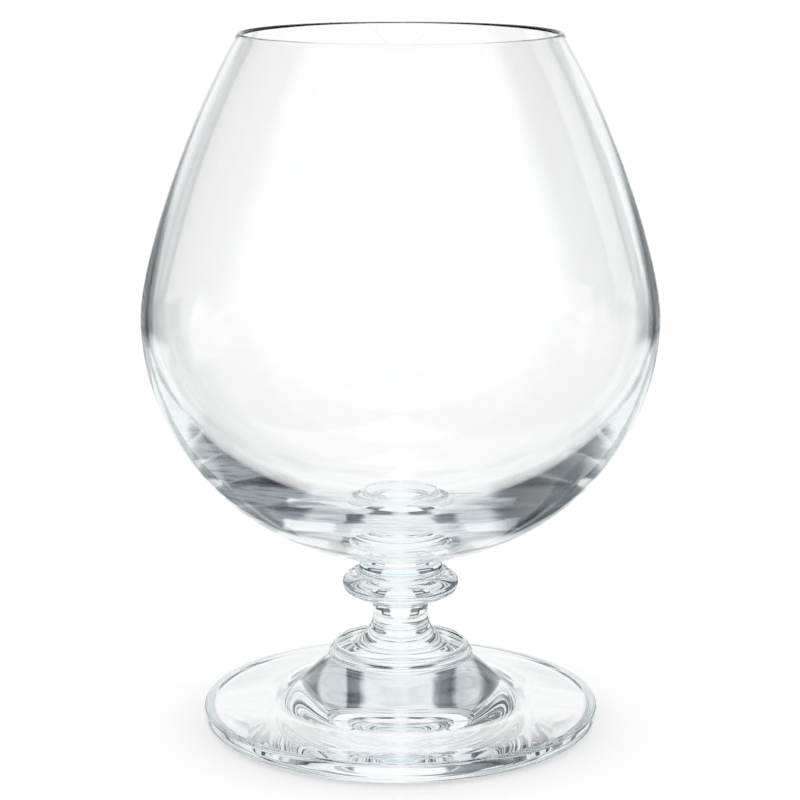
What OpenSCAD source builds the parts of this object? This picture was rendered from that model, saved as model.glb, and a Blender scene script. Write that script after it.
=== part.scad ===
// Brandy snifter: a wide glass bowl on a short stem with a knop, and a domed foot.
// Every piece is turned about the Z axis. The pieces stack up from the table, and each one
// is joined hot, face to face, to the piece below it.

/* [Foot] */
// Diameter over the rounded edge of the foot
foot_d = 69.9; // [60:0.1:80]
// Rounding under the edge
edge_under_r = 2.6; // [1.6:0.1:3]
// Height of the upright side between the two roundings of the edge
edge_side_h = 0.5; // [0.2:0.1:1.5]
// Height of the rounding on top of the edge
edge_over_h = 1; // [0.5:0.1:1.4]
// How far the rounding on top of the edge reaches in
edge_over_w = 0.6; // [0.4:0.1:1.4]
// How much thicker the disc is where the dome rises from it than at its edge
disc_rise = 1.1; // [0.3:0.1:1.8]
// Width of the flat ring that the glass stands on
stand_ring_w = 5.1; // [2:0.1:8]
// Height of the shallow hollow under the foot
hollow_h = 0.8; // [0.3:0.1:2.5]
// Height from the table to the top of the dome
dome_h = 12; // [10:0.1:16]
// Diameter of the dome where it meets the disc
dome_d = 49.6; // [44:0.1:56]
// How gently the dome runs out into the disc
dome_runout = 7.1; // [3:0.1:9]
// Slope of the dome under the collar, in degrees
dome_slope = 29.5; // [20:0.5:40]
// How far that slope is carried down the dome
dome_pull = 5.6; // [3:0.1:8]

/* [Foot collar] */
// Diameter over the lower bead of the collar
collar_low_d = 25.6; // [20:0.1:30]
// Height of the lower bead
collar_low_h = 1.3; // [0.9:0.1:2]
// How far the lower bead stands out from its seat
collar_low_w = 0.9; // [0.5:0.1:1.5]
// Diameter over the upper bead of the collar
collar_top_d = 24.1; // [20:0.1:25]
// Height of the upper bead
collar_top_h = 1.3; // [0.9:0.1:2]
// How far the upper bead is rounded in from its side
collar_top_w = 0.85; // [0.5:0.05:1.5]

/* [Stem] */
// Diameter of the stem at its waist
waist_d = 9.65; // [8:0.05:12]
// Height of the stem below its waist
stem_lower_h = 5.6; // [4:0.1:12]
// Height of the stem above its waist
stem_upper_h = 2.2; // [1.5:0.1:6]
// Diameter where the stem spreads onto the foot collar
stem_foot_d = 17.6; // [14:0.1:20]
// Diameter where the stem meets the knop
stem_top_d = 11; // [10:0.1:14]

/* [Knop] */
// Diameter over the knop
knop_d = 20.5; // [17:0.1:26]
// Height of the round part of the knop
knop_bead_h = 3.9; // [3:0.1:6]
// How far the round part stands out
knop_bead_w = 2.05; // [1.5:0.05:2.5]
// Height of the hollow curve under the round part
knop_under_h = 1.2; // [0.6:0.1:2]
// Height of the hollow curve over the round part
knop_over_h = 0.7; // [0.4:0.1:2]

/* [Bowl collar] */
// Diameter of the collar where it meets the bowl and the knop
neck_d = 14.9; // [12:0.1:16]
// Height of the collar between the knop and the bowl
neck_h = 2.8; // [2:0.1:6]
// How far the collar is drawn in at its middle
neck_draw = 0.2; // [0:0.05:0.6]

/* [Bowl] */
// Widest diameter of the bowl
bowl_d = 89.8; // [78:0.1:110]
// Height of the bowl from its collar up to its widest ring
belly_h = 42.2; // [34:0.1:56]
// Height of the bowl from its widest ring up to the rim
shoulder_h = 48.8; // [40:0.1:70]
// How far the wall keeps upright above the widest ring
shoulder_pull = 9; // [5:0.1:16]
// Diameter over the rim
rim_d = 55.6; // [46:0.1:70]
// How far the wall at the rim leans in from upright, in degrees
rim_lean = 30.5; // [20:0.5:40]
// How far that lean is carried down the wall
rim_pull = 18; // [12:0.1:24]
// Thickness of the wall at the widest ring
wall_t = 1.2; // [0.8:0.1:3]
// Thickness of the wall at the rim
rim_t = 0.9; // [0.6:0.1:2]
// Thickness of the solid glass under the hollow of the bowl
base_t = 5.8; // [4:0.1:14]

/* [Hidden] */

glass = [0.78, 0.86, 0.89, 0.45];
round_fn = 96;
arc_steps = 12;
curve_steps = 18;

// Where the two beads of the foot collar meet, as angles on their round sides
low_bead_end = 75;
top_bead_start = -50;
// Where the spread of the stem stops short of lying flat, as an angle on its curve
spread_end = 72;
// How much of the way out to the flat ring the top of the hollow stays level
hollow_level_share = 0.5;

// Heights of the seats, from the table up
collar_z = dome_h;
stem_z = collar_z + collar_low_h + collar_top_h;
waist_z = stem_z + stem_lower_h;
knop_z = waist_z + stem_upper_h;
bead_z = knop_z + knop_under_h;
neck_z = bead_z + knop_bead_h + knop_over_h;
bowl_z = neck_z + neck_h;
belly_z = bowl_z + belly_h;
rim_z = belly_z + shoulder_h;

// Radii at the seats
collar_seat_r = collar_low_d / 2 - collar_low_w;
stem_foot_r = stem_foot_d / 2;
stem_top_r = stem_top_d / 2;
neck_r = neck_d / 2;

// Outer curve of the bowl below its widest ring, a part of an ellipse that the collar cuts off
bowl_r = bowl_d / 2;
bowl_cut = asin(neck_r / bowl_r);
bowl_drop = belly_h / cos(bowl_cut);

// Points along a part of an ellipse from one angle to another
function arc(centre, rx, rz, from, to) = [
    for (i = [0 : arc_steps])
        let (a = from + (to - from) * i / arc_steps)
        centre + [rx * cos(a), rz * sin(a)]
];

// Points along a curve from p to s that leaves p towards q and comes to s from r
function curve(p, q, r, s) = [
    for (i = [0 : curve_steps])
        let (t = i / curve_steps, u = 1 - t)
        u ^ 3 * p + 3 * u ^ 2 * t * q + 3 * u * t ^ 2 * r + t ^ 3 * s
];

// A solid turned from its half outline
module turned(outline) {
    color(glass)
    rotate_extrude($fn = round_fn)
    polygon(outline);
}

module foot() {
    foot_r = foot_d / 2;
    edge_t = edge_under_r + edge_side_h + edge_over_h;
    root_z = edge_t + disc_rise;
    stand_out_r = foot_r - edge_under_r;
    stand_in_r = stand_out_r - stand_ring_w;
    level_r = stand_in_r * hollow_level_share;
    dome_r = dome_d / 2;
    hollow = curve([0, hollow_h], [level_r, hollow_h], [level_r, 0], [stand_in_r, 0]);
    under = arc([stand_out_r, edge_under_r], edge_under_r, edge_under_r, -90, 0);
    over = arc([foot_r - edge_over_w, edge_t - edge_over_h], edge_over_w, edge_over_h, 0, 90);
    dome = curve(
        [dome_r, root_z],
        [dome_r - dome_runout, root_z],
        [collar_seat_r, collar_z] + dome_pull * [cos(dome_slope), -sin(dome_slope)],
        [collar_seat_r, collar_z]
    );
    turned(concat(hollow, under, over, dome, [[0, collar_z]]));
}

module foot_collar() {
    top_r = collar_top_d / 2 - collar_top_w;
    low = arc([collar_seat_r, collar_z + collar_low_h / 2], collar_low_w, collar_low_h / 2, -90, low_bead_end);
    top = arc([top_r, stem_z - collar_top_h / 2], collar_top_w, collar_top_h / 2, top_bead_start, 90);
    turned(concat([[0, collar_z]], low, top, [[0, stem_z]]));
}

module stem() {
    waist_r = waist_d / 2;
    spread_w = (stem_foot_r - waist_r) / (1 - cos(spread_end));
    spread_h = stem_lower_h / sin(spread_end);
    flare_w = stem_top_r - waist_r;
    spread = arc([waist_r + spread_w, waist_z], spread_w, spread_h, 180 + spread_end, 180);
    flare = [
        for (i = [1 : arc_steps])
            let (a = 90 * i / arc_steps)
            [waist_r + flare_w * (1 - cos(a)), waist_z + stem_upper_h * sin(a)]
    ];
    turned(concat([[0, stem_z]], spread, flare, [[0, knop_z]]));
}

module knop() {
    bead_r = knop_d / 2 - knop_bead_w;
    bead_top_z = bead_z + knop_bead_h;
    under = [
        for (i = [0 : arc_steps - 1])
            let (a = 90 * i / arc_steps)
            [bead_r - (bead_r - stem_top_r) * cos(a), knop_z + knop_under_h * sin(a)]
    ];
    bead = arc([bead_r, bead_z + knop_bead_h / 2], knop_bead_w, knop_bead_h / 2, -90, 90);
    over = [
        for (i = [1 : arc_steps])
            let (a = 90 * i / arc_steps)
            [bead_r - (bead_r - neck_r) * sin(a), neck_z - knop_over_h * cos(a)]
    ];
    turned(concat([[0, knop_z]], under, bead, over, [[0, neck_z]]));
}

module bowl_collar() {
    side = [
        for (i = [0 : arc_steps])
            let (a = 180 * i / arc_steps)
            [neck_r - neck_draw * sin(a), neck_z + neck_h * i / arc_steps]
    ];
    turned(concat([[0, neck_z]], side, [[0, bowl_z]]));
}

module bowl() {
    inner_r = bowl_r - wall_t;
    lean = [sin(rim_lean), -cos(rim_lean)];
    square_to_wall = [cos(rim_lean), sin(rim_lean)];
    rim_round_r = rim_t / 2;
    rim_centre = [rim_d / 2 - rim_round_r, rim_z - rim_round_r];
    rim_out = rim_centre + rim_round_r * square_to_wall;
    rim_in = rim_centre - rim_round_r * square_to_wall;
    belly_out = [
        for (i = [0 : curve_steps - 1])
            let (a = bowl_cut + (90 - bowl_cut) * i / curve_steps)
            [bowl_r * sin(a), belly_z - bowl_drop * cos(a)]
    ];
    shoulder_out = curve(
        [bowl_r, belly_z], [bowl_r, belly_z + shoulder_pull], rim_out + rim_pull * lean, rim_out
    );
    rim = [
        for (i = [1 : arc_steps - 1])
            let (a = rim_lean + 180 * i / arc_steps)
            rim_centre + rim_round_r * [cos(a), sin(a)]
    ];
    shoulder_in = curve(
        rim_in, rim_in + rim_pull * lean, [inner_r, belly_z + shoulder_pull], [inner_r, belly_z]
    );
    belly_in = [
        for (i = [1 : curve_steps])
            let (a = 90 * i / curve_steps)
            [inner_r * cos(a), belly_z - (belly_h - base_t) * sin(a)]
    ];
    turned(concat([[0, bowl_z]], belly_out, shoulder_out, rim, shoulder_in, belly_in));
}

foot();
foot_collar();
stem();
knop();
bowl_collar();
bowl();
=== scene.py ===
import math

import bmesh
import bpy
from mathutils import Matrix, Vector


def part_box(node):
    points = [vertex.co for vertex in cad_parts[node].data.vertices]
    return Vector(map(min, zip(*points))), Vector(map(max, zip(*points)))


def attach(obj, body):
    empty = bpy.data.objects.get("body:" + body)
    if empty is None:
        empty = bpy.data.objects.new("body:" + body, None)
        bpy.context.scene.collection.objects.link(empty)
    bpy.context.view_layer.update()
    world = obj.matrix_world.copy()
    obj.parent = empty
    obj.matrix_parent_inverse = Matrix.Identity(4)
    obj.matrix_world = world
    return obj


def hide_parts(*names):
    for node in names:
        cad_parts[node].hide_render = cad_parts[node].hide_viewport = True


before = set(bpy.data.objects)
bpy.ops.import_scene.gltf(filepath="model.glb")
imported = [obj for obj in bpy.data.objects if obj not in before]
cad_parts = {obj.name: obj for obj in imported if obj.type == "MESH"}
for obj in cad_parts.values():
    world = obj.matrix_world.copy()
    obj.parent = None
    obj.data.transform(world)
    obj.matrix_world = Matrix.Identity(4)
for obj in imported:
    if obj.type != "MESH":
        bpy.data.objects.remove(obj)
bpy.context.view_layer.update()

# A brandy snifter in clear glass. Each piece is turned about the Z axis from a half outline, a list
# of (radius, height) points in metres that runs up the outside. The pieces are joined hot, so the
# faces where they meet are inside the glass and can't be seen.

MM = 0.001

# Fineness of the meshes
TURNS = 288
CURVE_STEPS = 64
ARC_STEPS = 24
CREASE = math.radians(24)
AXIS_R = 1e-6
# Half of the gap that keeps two joined faces from lying in each other
HALF_GAP = 0.004 * MM


def reach(node):
    """The widest radius of a CAD node, and the heights of its foot and its top."""
    low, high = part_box(node)
    return high.x, low.z, high.z


# Heights and radii that the frame gives
FOOT_R, TABLE_Z, COLLAR_Z = reach("foot")
COLLAR_R, _, STEM_Z = reach("foot_collar")
STEM_FOOT_R, _, KNOP_Z = reach("stem")
KNOP_R, _, NECK_Z = reach("knop")
NECK_R, _, BOWL_Z = reach("bowl_collar")
BOWL_R, _, RIM_Z = reach("bowl")

# Foot
EDGE_UNDER_R = 2.6 * MM
EDGE_SIDE_H = 0.5 * MM
EDGE_OVER_H = 1 * MM
EDGE_OVER_W = 0.6 * MM
DISC_RISE = 1.1 * MM
RING_W = 5.1 * MM
HOLLOW_H = 0.8 * MM
HOLLOW_LEVEL_SHARE = 0.5
DOME_R = 24.8 * MM
DOME_RUNOUT = 7.1 * MM
DOME_SLOPE = math.radians(29.5)
DOME_PULL = 5.6 * MM

# Foot collar
LOW_BEAD_H = 1.3 * MM
LOW_BEAD_W = 0.9 * MM
LOW_BEAD_END = 75
TOP_BEAD_R = 12.05 * MM
TOP_BEAD_H = 1.3 * MM
TOP_BEAD_W = 0.85 * MM
TOP_BEAD_START = -50

# Stem
WAIST_R = 4.825 * MM
STEM_TOP_R = 5.5 * MM
STEM_UPPER_H = 2.2 * MM
SPREAD_END = 72

# Knop
BEAD_W = 2.05 * MM
BEAD_H = 3.9 * MM
BEAD_UNDER_H = 1.2 * MM
BEAD_OVER_H = 0.7 * MM

# Bowl collar
NECK_DRAW = 0.2 * MM

# Bowl
BELLY_H = 42.2 * MM
SHOULDER_PULL = 9 * MM
RIM_R = 27.8 * MM
RIM_LEAN = math.radians(30.5)
RIM_PULL = 18 * MM
WALL_T = 1.2 * MM
RIM_T = 0.9 * MM
BASE_T = 5.8 * MM


def ellipse_arc(centre, rx, rz, start, end, steps=ARC_STEPS):
    """Points along a part of an ellipse from one angle to another, in degrees."""
    points = []
    for i in range(steps + 1):
        angle = math.radians(start + (end - start) * i / steps)
        points.append((centre[0] + rx * math.cos(angle), centre[1] + rz * math.sin(angle)))
    return points


def curve(p, q, r, s, steps=CURVE_STEPS):
    """Points along a curve from p to s that leaves p towards q and comes to s from r."""
    points = []
    for i in range(steps + 1):
        t = i / steps
        u = 1 - t
        weights = (u ** 3, 3 * u ** 2 * t, 3 * u * t ** 2, t ** 3)
        points.append(tuple(sum(w * c[axis] for w, c in zip(weights, (p, q, r, s))) for axis in (0, 1)))
    return points


def foot_side():
    edge_t = EDGE_UNDER_R + EDGE_SIDE_H + EDGE_OVER_H
    root_z = edge_t + DISC_RISE
    stand_out_r = FOOT_R - EDGE_UNDER_R
    stand_in_r = stand_out_r - RING_W
    level_r = stand_in_r * HOLLOW_LEVEL_SHARE
    seat_r = COLLAR_R - LOW_BEAD_W
    steep = (seat_r + DOME_PULL * math.cos(DOME_SLOPE), COLLAR_Z - DOME_PULL * math.sin(DOME_SLOPE))
    hollow = curve((0, HOLLOW_H), (level_r, HOLLOW_H), (level_r, TABLE_Z), (stand_in_r, TABLE_Z))
    under = ellipse_arc((stand_out_r, EDGE_UNDER_R), EDGE_UNDER_R, EDGE_UNDER_R, -90, 0)
    over = ellipse_arc((FOOT_R - EDGE_OVER_W, edge_t - EDGE_OVER_H), EDGE_OVER_W, EDGE_OVER_H, 0, 90)
    dome = curve((DOME_R, root_z), (DOME_R - DOME_RUNOUT, root_z), steep, (seat_r, COLLAR_Z))
    return hollow + under + over + dome


def foot_collar_side():
    low_centre = (COLLAR_R - LOW_BEAD_W, COLLAR_Z + LOW_BEAD_H / 2)
    top_centre = (TOP_BEAD_R - TOP_BEAD_W, STEM_Z - TOP_BEAD_H / 2)
    low = ellipse_arc(low_centre, LOW_BEAD_W, LOW_BEAD_H / 2, -90, LOW_BEAD_END)
    top = ellipse_arc(top_centre, TOP_BEAD_W, TOP_BEAD_H / 2, TOP_BEAD_START, 90)
    return low + top


def stem_side():
    waist_z = KNOP_Z - STEM_UPPER_H
    spread_end = math.radians(SPREAD_END)
    spread_w = (STEM_FOOT_R - WAIST_R) / (1 - math.cos(spread_end))
    spread_h = (waist_z - STEM_Z) / math.sin(spread_end)
    flare_w = STEM_TOP_R - WAIST_R
    spread_centre = (WAIST_R + spread_w, waist_z)
    flare_centre = (WAIST_R + flare_w, waist_z)
    spread = ellipse_arc(spread_centre, spread_w, spread_h, 180 + SPREAD_END, 180, CURVE_STEPS)
    flare = ellipse_arc(flare_centre, flare_w, STEM_UPPER_H, 180, 90)
    return spread + flare


def knop_side():
    bead_r = KNOP_R - BEAD_W
    bead_z = KNOP_Z + BEAD_UNDER_H
    under = ellipse_arc((bead_r, KNOP_Z), bead_r - STEM_TOP_R, BEAD_UNDER_H, 180, 90)
    bead = ellipse_arc((bead_r, bead_z + BEAD_H / 2), BEAD_W, BEAD_H / 2, -90, 90, CURVE_STEPS)
    over = ellipse_arc((bead_r, NECK_Z), bead_r - NECK_R, BEAD_OVER_H, -90, -180)
    return under + bead + over


def bowl_collar_side():
    points = []
    for i in range(ARC_STEPS + 1):
        t = i / ARC_STEPS
        points.append((NECK_R - NECK_DRAW * math.sin(math.pi * t), NECK_Z + (BOWL_Z - NECK_Z) * t))
    return points


def bowl_side():
    belly_z = BOWL_Z + BELLY_H
    inner_r = BOWL_R - WALL_T
    cut = math.asin(NECK_R / BOWL_R)
    drop = BELLY_H / math.cos(cut)
    lean = (math.sin(RIM_LEAN), -math.cos(RIM_LEAN))
    rim_round_r = RIM_T / 2
    rim_centre = (RIM_R - rim_round_r, RIM_Z - rim_round_r)
    lean_deg = math.degrees(RIM_LEAN)
    rim = ellipse_arc(rim_centre, rim_round_r, rim_round_r, lean_deg, lean_deg + 180)
    pulled = [(r + RIM_PULL * lean[0], z + RIM_PULL * lean[1]) for r, z in (rim[0], rim[-1])]
    belly_out = ellipse_arc((0, belly_z), BOWL_R, drop, -90 + math.degrees(cut), 0, CURVE_STEPS)
    shoulder_out = curve((BOWL_R, belly_z), (BOWL_R, belly_z + SHOULDER_PULL), pulled[0], rim[0])
    shoulder_in = curve(rim[-1], pulled[1], (inner_r, belly_z + SHOULDER_PULL), (inner_r, belly_z))
    belly_in = ellipse_arc((0, belly_z), inner_r, BELLY_H - BASE_T, 0, -90, CURVE_STEPS)
    return belly_out + shoulder_out + rim + shoulder_in + belly_in


def merged(outline):
    """The outline without points that repeat."""
    kept = [outline[0]]
    for point in outline[1:]:
        if math.dist(point, kept[-1]) > 2 * AXIS_R:
            kept.append(point)
    return kept


def turn_at(outline, i):
    """How far the outline turns at one of its points."""
    before = math.atan2(outline[i][1] - outline[i - 1][1], outline[i][0] - outline[i - 1][0])
    after = math.atan2(outline[i + 1][1] - outline[i][1], outline[i + 1][0] - outline[i][0])
    return abs((after - before + math.pi) % (2 * math.pi) - math.pi)


def turned(name, side, seat_below, seat_above):
    """A closed solid turned from its side. A seat closes it flat, in the unseen second material."""
    outline = list(side)
    if seat_below:
        start = (side[0][0], side[0][1] + HALF_GAP)
        outline = [(0, start[1]), start] + outline[1:]
    if seat_above:
        end = (side[-1][0], side[-1][1] - HALF_GAP)
        outline = outline[:-1] + [end, (0, end[1])]
    outline = merged(outline)
    last = len(outline) - 1
    mesh = bmesh.new()
    rings = []
    for radius, height in outline:
        angles = [2 * math.pi * k / TURNS for k in range(TURNS if radius > AXIS_R else 1)]
        spread = radius if radius > AXIS_R else 0
        rings.append([mesh.verts.new((spread * math.cos(a), spread * math.sin(a), height)) for a in angles])
    for i in range(last):
        low, high = rings[i], rings[i + 1]
        for k in range(TURNS):
            low_side = [low[k % len(low)], low[(k + 1) % len(low)]]
            high_side = [high[(k + 1) % len(high)], high[k % len(high)]]
            face = mesh.faces.new(list(dict.fromkeys(low_side + high_side)))
            face.smooth = True
            face.material_index = int((seat_below and i == 0) or (seat_above and i == last - 1))
    for i in range(1, last):
        at_seat = (seat_below and i == 1) or (seat_above and i == last - 1)
        if at_seat or turn_at(outline, i) > CREASE:
            for k in range(TURNS):
                mesh.edges.get((rings[i][k], rings[i][(k + 1) % TURNS])).smooth = False
    data = bpy.data.meshes.new(name)
    mesh.to_mesh(data)
    mesh.free()
    piece = bpy.data.objects.new(name, data)
    bpy.context.scene.collection.objects.link(piece)
    return piece


class Nodes:
    """Adds shader nodes to a tree and wires them up."""

    def __init__(self, tree):
        self.tree = tree
        tree.nodes.clear()

    def add(self, kind, inputs=None, **settings):
        node = self.tree.nodes.new(kind)
        for key, value in settings.items():
            setattr(node, key, value)
        for key, value in (inputs or {}).items():
            self.feed(node.inputs[key], value)
        return node

    def feed(self, socket, value):
        if isinstance(value, bpy.types.NodeSocket):
            self.tree.links.new(value, socket)
        else:
            socket.default_value = value

    def math(self, operation, *values):
        return self.add("ShaderNodeMath", dict(enumerate(values)), operation=operation).outputs[0]

    def rise(self, value, start, end):
        """0 where value is at start, 1 where it is at end, and smooth between."""
        inputs = {"Value": value, "From Min": start, "From Max": end}
        return self.add("ShaderNodeMapRange", inputs, interpolation_type="SMOOTHSTEP").outputs[0]

    def ramp(self, value, stops):
        node = self.add("ShaderNodeValToRGB", {0: value})
        elements = node.color_ramp.elements
        while len(elements) < len(stops):
            elements.new(0.5)
        for element, (place, colour) in zip(elements, stops):
            element.position = place
            element.color = (*colour, 1)
        return node.outputs[0]

    def mix(self, factor, first, second):
        node = self.add("ShaderNodeMix", {0: factor, 6: first, 7: second}, data_type="RGBA")
        return node.outputs[2]


WHITE = (1, 1, 1, 1)

# What the glass lets through over the length that the density sets
TINT = (0.8, 0.93, 0.96, 1)
TINT_DENSITY = 2
GLASS_IOR = 1.5
# Waves of the surface and patches of its slight haze, with scales in waves to the metre
WAVE_SCALE = 90
WAVE_STRENGTH = 0.04
WAVE_DEPTH = 0.2 * MM
HAZE_SCALE = 700
HAZE_ROUGHNESS = 0.006


def clear_glass():
    """Colourless glass, fire polished, with the faint waves that blowing leaves."""
    material = bpy.data.materials.new("clear_glass")
    material.use_nodes = True
    nodes = Nodes(material.node_tree)
    place = nodes.add("ShaderNodeTexCoord").outputs["Object"]
    waves = nodes.add("ShaderNodeTexNoise", {"Vector": place, "Scale": WAVE_SCALE, "Detail": 1.5})
    haze = nodes.add("ShaderNodeTexNoise", {"Vector": place, "Scale": HAZE_SCALE, "Detail": 2})
    rough = nodes.add("ShaderNodeMapRange", {
        "Value": haze.outputs["Fac"],
        "To Min": 0,
        "To Max": HAZE_ROUGHNESS,
    })
    bump = nodes.add("ShaderNodeBump", {
        "Strength": WAVE_STRENGTH,
        "Distance": WAVE_DEPTH,
        "Height": waves.outputs["Fac"],
    })
    surface = nodes.add("ShaderNodeBsdfPrincipled", {
        "Base Color": WHITE,
        "Transmission Weight": 1,
        "IOR": GLASS_IOR,
        "Roughness": rough.outputs[0],
        "Normal": bump.outputs[0],
    })
    tint = nodes.add("ShaderNodeVolumeAbsorption", {"Color": TINT, "Density": TINT_DENSITY})
    nodes.add("ShaderNodeOutputMaterial", {"Surface": surface.outputs[0], "Volume": tint.outputs[0]})
    return material


def fused_face():
    """Where two pieces are melted together there is no surface left to see."""
    material = bpy.data.materials.new("fused_face")
    material.use_nodes = True
    nodes = Nodes(material.node_tree)
    through = nodes.add("ShaderNodeBsdfTransparent")
    tint = nodes.add("ShaderNodeVolumeAbsorption", {"Color": TINT, "Density": TINT_DENSITY})
    nodes.add("ShaderNodeOutputMaterial", {"Surface": through.outputs[0], "Volume": tint.outputs[0]})
    return material


def add_pieces():
    """One piece for each CAD node, in its place."""
    glass = clear_glass()
    fused = fused_face()
    sides = {
        "foot": (foot_side(), False, True),
        "foot_collar": (foot_collar_side(), True, True),
        "stem": (stem_side(), True, True),
        "knop": (knop_side(), True, True),
        "bowl_collar": (bowl_collar_side(), True, True),
        "bowl": (bowl_side(), True, False),
    }
    for node, (side, seat_below, seat_above) in sides.items():
        piece = turned("glass_" + node, side, seat_below, seat_above)
        piece.data.materials.append(glass)
        piece.data.materials.append(fused)
        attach(piece, "root")
        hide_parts(node)


# Camera of the photograph, with its place in metres
CAMERA_BACK = 0.4434
CAMERA_UP = 0.1532
CAMERA_PITCH = 12.08
FOCAL_PX = 2600
FRAME_PX = 800
SENSOR_MM = 36
SHIFT_PX = -0.5
CLIP_START = 0.01


def add_camera():
    data = bpy.data.cameras.new("camera")
    data.sensor_width = SENSOR_MM
    data.lens = FOCAL_PX * SENSOR_MM / FRAME_PX
    data.shift_x = SHIFT_PX / FRAME_PX
    data.clip_start = CLIP_START
    camera = bpy.data.objects.new("camera", data)
    camera.location = (0, -CAMERA_BACK, CAMERA_UP)
    camera.rotation_euler = (math.radians(90 - CAMERA_PITCH), 0, 0)
    bpy.context.scene.collection.objects.link(camera)
    bpy.context.scene.camera = camera


# Table, in metres
FLOOR_HALF = 3
FLOOR_GAP = 0.05 * MM
FLOOR_CLOTH = (0.7, 0.7, 0.7, 1)
FLOOR_GLOW = 0.42


def add_floor():
    """A pale table. The camera sees it lit and shadowed, and the glass sees the studio through it."""
    mesh = bmesh.new()
    bmesh.ops.create_grid(mesh, x_segments=1, y_segments=1, size=FLOOR_HALF)
    data = bpy.data.meshes.new("floor")
    mesh.to_mesh(data)
    mesh.free()
    floor = bpy.data.objects.new("floor", data)
    floor.location.z = -FLOOR_GAP
    bpy.context.scene.collection.objects.link(floor)
    material = bpy.data.materials.new("pale_floor")
    material.use_nodes = True
    nodes = Nodes(material.node_tree)
    ray = nodes.add("ShaderNodeLightPath")
    by_glass = nodes.math("MAXIMUM", ray.outputs["Is Glossy Ray"], ray.outputs["Is Transmission Ray"])
    cloth = nodes.add("ShaderNodeBsdfDiffuse", {"Color": FLOOR_CLOTH})
    glow = nodes.add("ShaderNodeEmission", {"Color": WHITE, "Strength": FLOOR_GLOW})
    table = nodes.add("ShaderNodeAddShader", {0: cloth.outputs[0], 1: glow.outputs[0]})
    through = nodes.add("ShaderNodeBsdfTransparent")
    seen = nodes.add("ShaderNodeMixShader", {0: by_glass, 1: table.outputs[0], 2: through.outputs[0]})
    nodes.add("ShaderNodeOutputMaterial", {"Surface": seen.outputs[0]})
    data.materials.append(material)


# The studio round the glass, as directions in degrees: across is the angle from straight behind the
# glass to either side, and up is the angle above the horizon. Each panel runs across from its inner
# to its outer edge and up from its low to its high edge, fades out over its soft width, and has a
# strength. Windows are lit screens, and flags are dark boards that take their light away again and
# draw the outlines of the glass. Backdrops are screens in front of both, which keep what is straight
# behind the glass white, seen from the camera and from three other sides.
WINDOWS = (
    # Straight behind, over the horizon
    (0, 12, 4, 24, 6, 0.6),
    (0, 30, 3, 31, 7, 0.72),
    # Overhead, and under the table
    (0, 39, 33, 90, 6, 1),
    (0, 181, -90, -47, 5, 1),
    # The dim walls of the room
    (34, 181, -41, 18, 10, 0.36),
    # Behind to each side, under the horizon and at it
    (7, 27, -37, -2, 5, 1),
    (23, 40, -2, 11, 2.2, 1),
    # In front, and low down to each side
    (104, 181, -2, 90, 14, 0.93),
    (56, 181, -60, -4, 7, 0.93),
)
FLAGS = (
    # Low down, to each side of what is straight behind
    (13, 29, -35, -23, 4, 0.78),
    (32, 50, -32, -9, 4, 1),
    (17, 35, -14, -2, 3, 0.74),
    # Over the horizon
    (13, 18, 15, 22, 2.8, 0.7),
    (4, 9, 25, 31, 3, 0.9),
)
BACKDROPS = (
    (0, 14, -90, 6, 3, 1),
    (35, 55, -36, -14, 3.5, 1),
    (78, 102, -14, 3, 4, 1),
    (123, 147, -27, -3, 4, 1),
)

# How far the edges of the panels wander, in degrees, and how fine that is
SWAY = 5
SWAY_SCALE = 9
SWING = 8
SWING_SCALE = 6

# Thin level slats that shade the dim parts of the studio
SLAT_STRETCH = (4, 4, 46)
SLAT_FROM, SLAT_TO = 0.42, 0.68
SLAT_STRENGTH = 0.75
SLAT_REACH = 1.15

# A dark board on the left only, with its soft far and near edges as angles from straight behind
BOARD_FAR = (-28, -42)
BOARD_NEAR = (-96, -80)
BOARD_STRENGTH = 0.75

# Colours of the studio by how much light there is: neutral when full, cooler when dim
LIGHT_COLOURS = (
    (0, (0.012, 0.016, 0.021)),
    (0.1, (0.09, 0.102, 0.112)),
    (0.3, (0.28, 0.303, 0.318)),
    (0.6, (0.57, 0.6, 0.62)),
    (0.85, (0.83, 0.855, 0.87)),
    (1, (1, 1, 1)),
)


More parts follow.
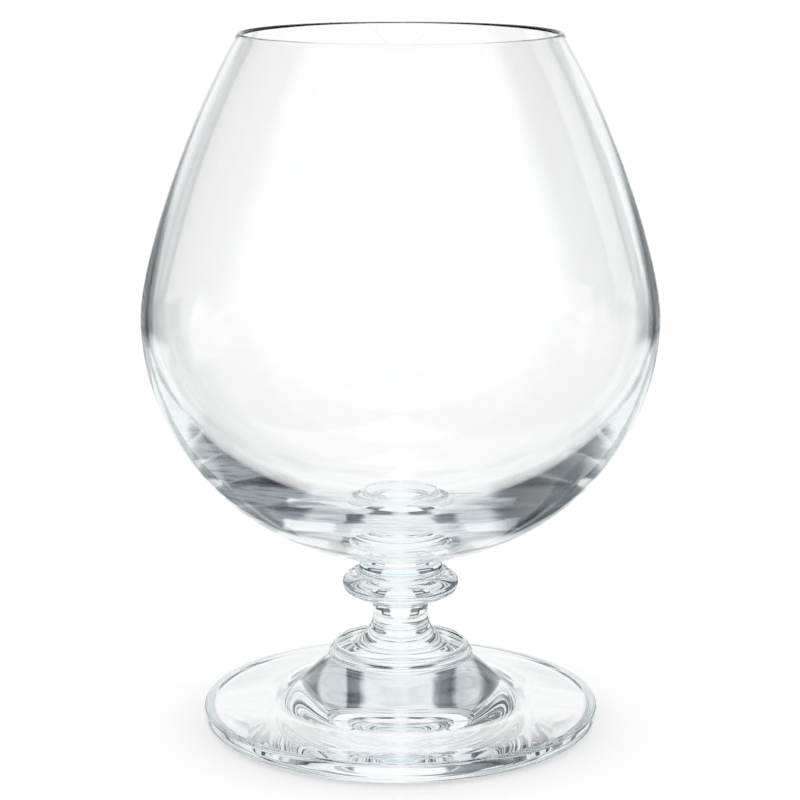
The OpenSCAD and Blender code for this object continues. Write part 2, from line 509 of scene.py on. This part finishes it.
def add_studio():
    """The studio is a world. The camera and the table see it plain white, and the glass sees the panels."""
    world = bpy.data.worlds.new("studio")
    bpy.context.scene.world = world
    world.use_nodes = True
    world.cycles.sampling_method = "NONE"
    nodes = Nodes(world.node_tree)
    direction = nodes.add("ShaderNodeTexCoord").outputs["Generated"]
    split = nodes.add("ShaderNodeSeparateXYZ", {0: direction})
    sideways = nodes.math("DEGREES", nodes.math("ARCTAN2", split.outputs["X"], split.outputs["Y"]))

    def wander(reach, **noise):
        field = nodes.add("ShaderNodeTexNoise", {"Vector": direction, "Detail": 4, **noise})
        return nodes.math("MULTIPLY", nodes.math("SUBTRACT", field.outputs["Fac"], 0.5), reach)

    def dimmed(light, share):
        return nodes.math("MULTIPLY", light, nodes.math("SUBTRACT", 1, share))

    swing = wander(SWING, Scale=SWING_SCALE, Distortion=0.6)
    sway = wander(SWAY, Scale=SWAY_SCALE)
    across = nodes.math("ADD", nodes.math("ABSOLUTE", sideways), swing)
    up = nodes.math("ADD", nodes.math("DEGREES", nodes.math("ARCSINE", split.outputs["Z"])), sway)

    def panel(inner, outer, low, high, soft, strength):
        lit = nodes.rise(across, outer + soft, outer)
        if inner:
            lit = nodes.math("MULTIPLY", lit, nodes.rise(across, inner - soft, inner))
        lit = nodes.math("MULTIPLY", lit, nodes.rise(up, low - soft, low))
        lit = nodes.math("MULTIPLY", lit, nodes.rise(up, high + soft, high))
        return nodes.math("MULTIPLY", lit, strength)

    dark = 1
    for place in WINDOWS:
        dark = dimmed(dark, panel(*place))
    light = nodes.math("SUBTRACT", 1, dark)
    for place in FLAGS:
        light = dimmed(light, panel(*place))
    flattened = nodes.add("ShaderNodeVectorMath", {0: direction, 1: SLAT_STRETCH}, operation="MULTIPLY")
    slats = nodes.add("ShaderNodeTexNoise", {"Vector": flattened.outputs[0], "Scale": 1, "Detail": 3})
    slat = nodes.rise(slats.outputs["Fac"], SLAT_FROM, SLAT_TO)
    shade = nodes.math("MULTIPLY", slat, SLAT_STRENGTH)
    shade = nodes.math("MULTIPLY", shade, nodes.math("SUBTRACT", SLAT_REACH, light))
    light = dimmed(light, shade)
    board = nodes.math("MULTIPLY", nodes.rise(sideways, *BOARD_FAR), nodes.rise(sideways, *BOARD_NEAR))
    light = dimmed(light, nodes.math("MULTIPLY", board, BOARD_STRENGTH))
    for place in BACKDROPS:
        light = nodes.math("MAXIMUM", light, panel(*place))
    colour = nodes.ramp(light, LIGHT_COLOURS)
    ray = nodes.add("ShaderNodeLightPath")
    by_glass = nodes.math("MAXIMUM", ray.outputs["Is Glossy Ray"], ray.outputs["Is Transmission Ray"])
    seen = nodes.mix(by_glass, WHITE, colour)
    glow = nodes.add("ShaderNodeBackground", {"Color": seen, "Strength": 1})
    nodes.add("ShaderNodeOutputWorld", {"Surface": glow.outputs[0]})


# Light runs a long way round inside a thick glass before it comes out
BOUNCES = 64


def set_render():
    scene = bpy.context.scene
    scene.view_settings.view_transform = "Standard"
    scene.cycles.max_bounces = BOUNCES
    scene.cycles.transmission_bounces = BOUNCES
    scene.cycles.glossy_bounces = BOUNCES
    scene.cycles.transparent_max_bounces = BOUNCES


add_camera()
add_pieces()
add_floor()
add_studio()
set_render()

bpy.context.view_layer.update()
